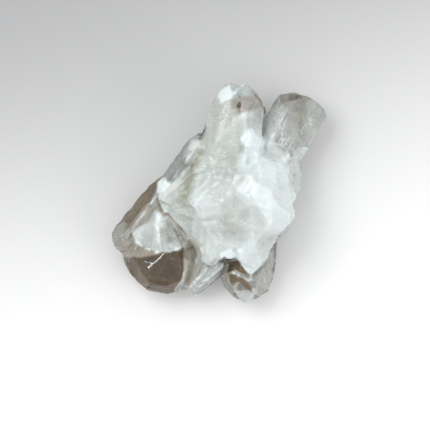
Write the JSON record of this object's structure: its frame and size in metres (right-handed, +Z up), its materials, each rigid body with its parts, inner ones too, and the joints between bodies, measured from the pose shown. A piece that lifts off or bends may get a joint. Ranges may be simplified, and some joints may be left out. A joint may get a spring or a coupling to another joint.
{
  "type": "quartz crystal cluster",
  "caption": "Natural specimen of clear quartz: faceted rock crystal points grown together round a milky, broken root, lying on its back with a flat base to rest on.",
  "frame": {"origin": "centre of the bounding box in plan, at the flat base that the cluster rests on", "axes": "+Z up, out of the milky side; +Y to the end with the two side by side points; +X to the right of that, seen from above"},
  "size_m": [0.061, 0.0618, 0.0298],
  "materials": {
    "clear_quartz": "clear to milky natural crystal, glossy on its faces and frosted on its breaks"
  },
  "bodies": {
    "root": {"quartz_cluster": "clear_quartz"}
  },
  "joints": []
}
